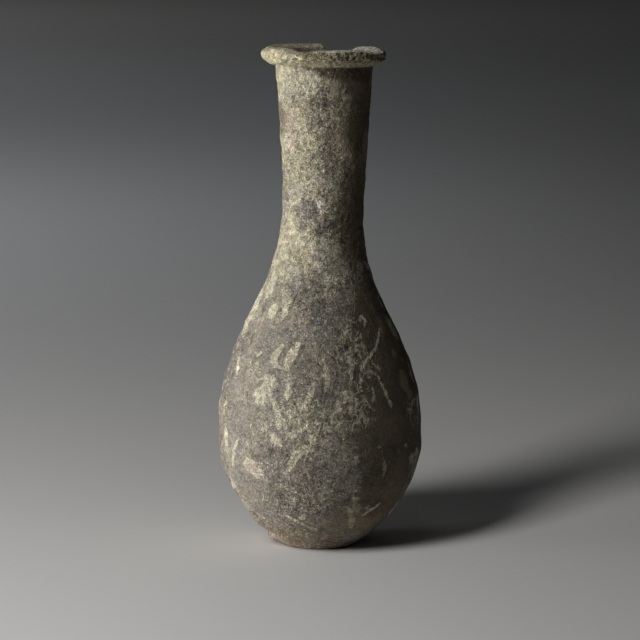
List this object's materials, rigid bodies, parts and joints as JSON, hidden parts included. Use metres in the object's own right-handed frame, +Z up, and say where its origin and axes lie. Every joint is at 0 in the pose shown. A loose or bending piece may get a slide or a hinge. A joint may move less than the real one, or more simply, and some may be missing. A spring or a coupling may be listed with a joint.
{
  "type": "pottery unguentarium",
  "caption": "Small wheel-thrown clay flask with a pear-shaped body, tall neck, thick everted rim with a broken length, and a flat foot.",
  "frame": {"origin": "middle of the foot's flat underside", "axes": "+Z up along the axis the flask was turned about, -Y towards the front, +X to the right seen from the front; the neck leans 1.1 mm towards +X"},
  "size_m": [0.058, 0.0581, 0.1423],
  "materials": {
    "fired_clay": "unglazed, matt, crusted with lime"
  },
  "bodies": {
    "root": {"unguentarium": "fired_clay"}
  },
  "joints": []
}
